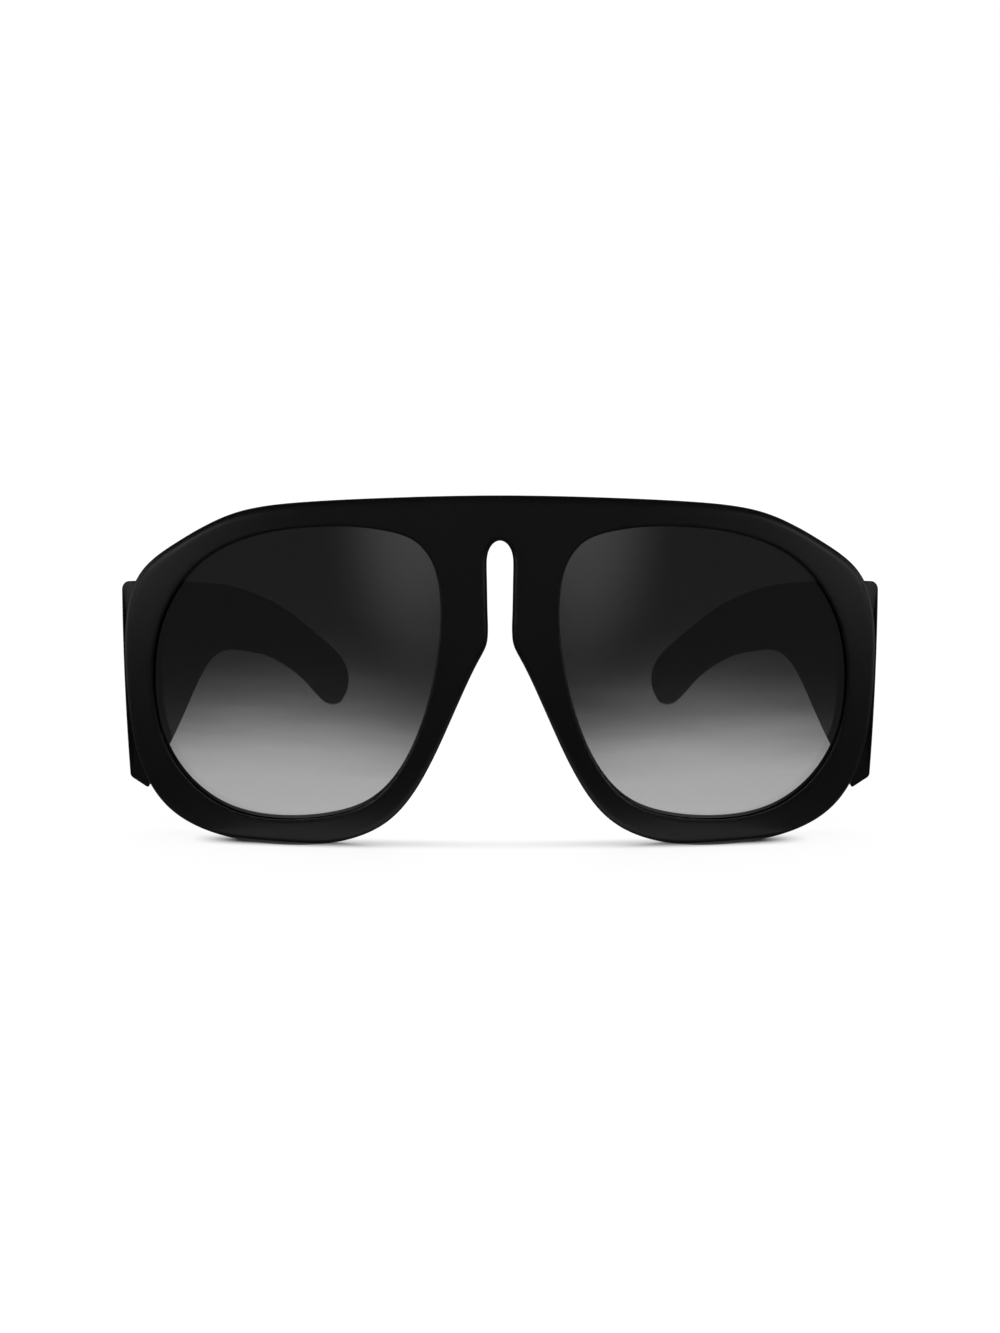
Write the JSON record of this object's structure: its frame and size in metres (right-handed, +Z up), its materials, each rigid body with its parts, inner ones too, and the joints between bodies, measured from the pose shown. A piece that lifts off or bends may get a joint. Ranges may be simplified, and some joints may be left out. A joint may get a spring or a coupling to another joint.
{
  "type": "oversized sunglasses",
  "caption": "Oversized wrapped acetate sunglasses: flat brow, slotted bridge, large graded lenses and deep folding temples with drooping tips.",
  "frame": {"origin": "middle of the object's bounding box, at the plane the rims and temple tips stand on", "axes": "+X to the wearer's left, -Y the way the front faces, +Y along the open temples, +Z up"},
  "size_m": [0.1508, 0.1564, 0.0682],
  "materials": {
    "black_acetate": "polished black acetate",
    "graded_lens": "smooth, graded from dark at the top to light at the bottom",
    "hinge_steel": "satin",
    "screw_steel": "polished",
    "wire_steel": "drawn wire"
  },
  "bodies": {
    "front": {"front_frame": "black_acetate", "left_lens": "graded_lens", "right_lens": "graded_lens", "left_nose_pad": "black_acetate", "right_nose_pad": "black_acetate", "left_front_leaf": "hinge_steel", "right_front_leaf": "hinge_steel", "left_hinge_screw": "screw_steel", "right_hinge_screw": "screw_steel", "left_front_leaf_upper_screw": "screw_steel", "left_front_leaf_lower_screw": "screw_steel", "right_front_leaf_upper_screw": "screw_steel", "right_front_leaf_lower_screw": "screw_steel"},
    "left_arm": {"left_temple": "black_acetate", "left_core_wire": "wire_steel", "left_temple_leaf": "hinge_steel", "left_temple_leaf_fore_screw": "screw_steel", "left_temple_leaf_aft_screw": "screw_steel"},
    "right_arm": {"right_temple": "black_acetate", "right_core_wire": "wire_steel", "right_temple_leaf": "hinge_steel", "right_temple_leaf_fore_screw": "screw_steel", "right_temple_leaf_aft_screw": "screw_steel"}
  },
  "joints": [
    {"name": "left_temple_fold", "type": "hinge", "parent": "front", "child": "left_arm", "pos_m": [0.06908, -0.055, 0.04234], "axis": [0, 0, 1], "range_deg": [0, 78.4]},
    {"name": "right_temple_fold", "type": "hinge", "parent": "front", "child": "right_arm", "pos_m": [-0.06908, -0.055, 0.04234], "axis": [0, 0, -1], "range_deg": [0, 60]}
  ]
}
